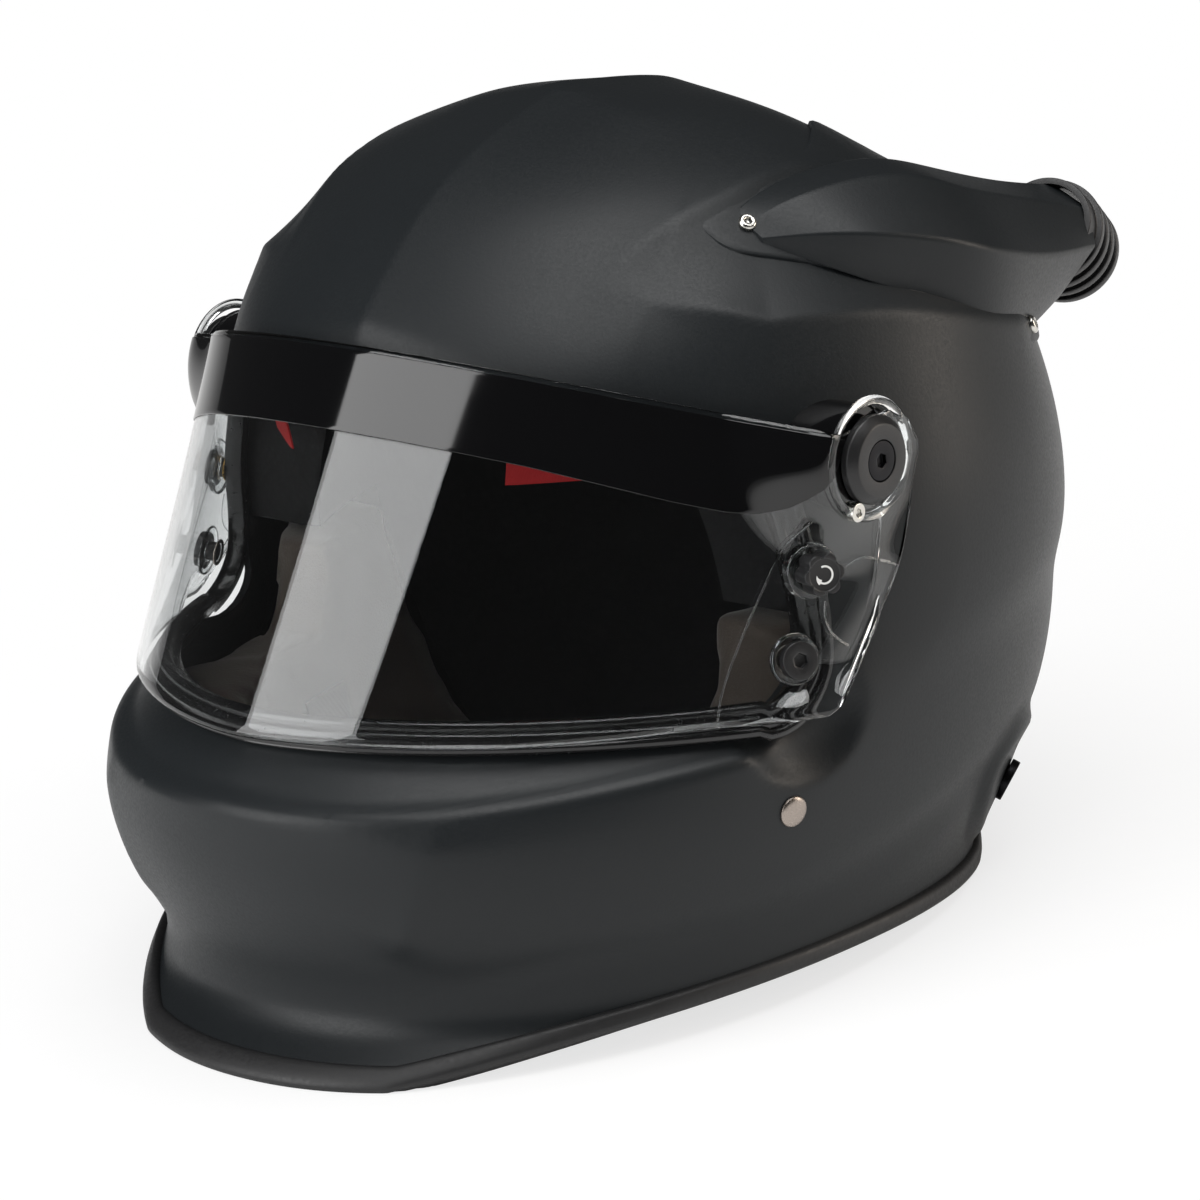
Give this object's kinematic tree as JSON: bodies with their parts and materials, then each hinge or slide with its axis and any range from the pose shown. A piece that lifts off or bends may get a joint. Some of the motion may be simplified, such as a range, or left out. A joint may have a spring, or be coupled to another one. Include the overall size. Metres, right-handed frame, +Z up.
{
  "type": "auto racing helmet",
  "caption": "Full-face car racing helmet with a tinted-strip clear shield on side pivots, a side-fed forced air duct with hose spigot, foam liners and pads.",
  "frame": {"origin": "on the ground plane under the middle of the helmet's length and width, where the bottom edge trim rests in front and behind", "axes": "+Z up, the face looks to -Y, the wearer's left is +X"},
  "size_m": [0.2746, 0.3354, 0.2498],
  "materials": {
    "shell_paint": "matte black-charcoal paint on composite",
    "trim_rubber": "satin rubber beading",
    "gasket_rubber": "glossy black rubber",
    "liner_foam": "expanded foam, dark",
    "lining_fabric": "dark brown-grey suede cloth",
    "red_ribbon": "red ribbon",
    "strap_webbing": "black woven webbing",
    "clear_lens": "clear hard-coated polycarbonate",
    "black_strip": "glossy black film",
    "black_plastic": "satin black moulded plastic",
    "black_metal": "black oxide steel",
    "nickel": "nickel plate",
    "brass_nut": "gold anodised"
  },
  "bodies": {
    "helmet": {"anchor_nut_left": "nickel", "anchor_nut_right": "nickel", "anchor_plug_left": "black_metal", "anchor_plug_right": "black_metal", "brow_pad": "lining_fabric", "brow_pull_tabs": "red_ribbon", "cheek_pad_left": "lining_fabric", "cheek_pad_right": "lining_fabric", "chin_bar_foam": "liner_foam", "chin_pad": "lining_fabric", "chin_strap_left": "strap_webbing", "chin_strap_right": "strap_webbing", "crown_liner": "liner_foam", "crown_pad": "lining_fabric", "duct_cover": "shell_paint", "duct_screws": "nickel", "duct_spout": "black_plastic", "edge_trim": "trim_rubber", "eyeport_gasket": "gasket_rubber", "neck_roll": "lining_fabric", "outer_shell": "shell_paint", "pivot_base_left": "black_plastic", "pivot_base_right": "black_plastic", "pivot_cap_left": "black_plastic", "pivot_cap_right": "black_plastic", "pivot_nut_left": "nickel", "pivot_nut_right": "nickel", "pivot_screw_left": "black_metal", "pivot_screw_right": "black_metal", "strap_rivet_left": "nickel", "strap_rivet_right": "nickel"},
    "shield": {"shield_lens": "clear_lens", "sun_strip": "black_strip", "tear_off_post_left": "black_plastic", "tear_off_post_right": "black_plastic", "tear_off_nut_left": "nickel", "tear_off_nut_right": "nickel", "upper_post_right": "black_plastic", "upper_post_nut_right": "brass_nut"},
    "lock": {"lock_knob": "black_plastic"}
  },
  "joints": [
    {"name": "shield_hinge", "type": "hinge", "parent": "helmet", "child": "shield", "pos_m": [0, -0.0078, 0.1597], "axis": [-1, 0, 0], "range_deg": [0, 32]},
    {"name": "lock_turn", "type": "hinge", "parent": "shield", "child": "lock", "pos_m": [0.12171, -0.02985, 0.1311], "axis": [0.9135, -0.4041, 0.0475], "range_deg": [0, 90]}
  ]
}
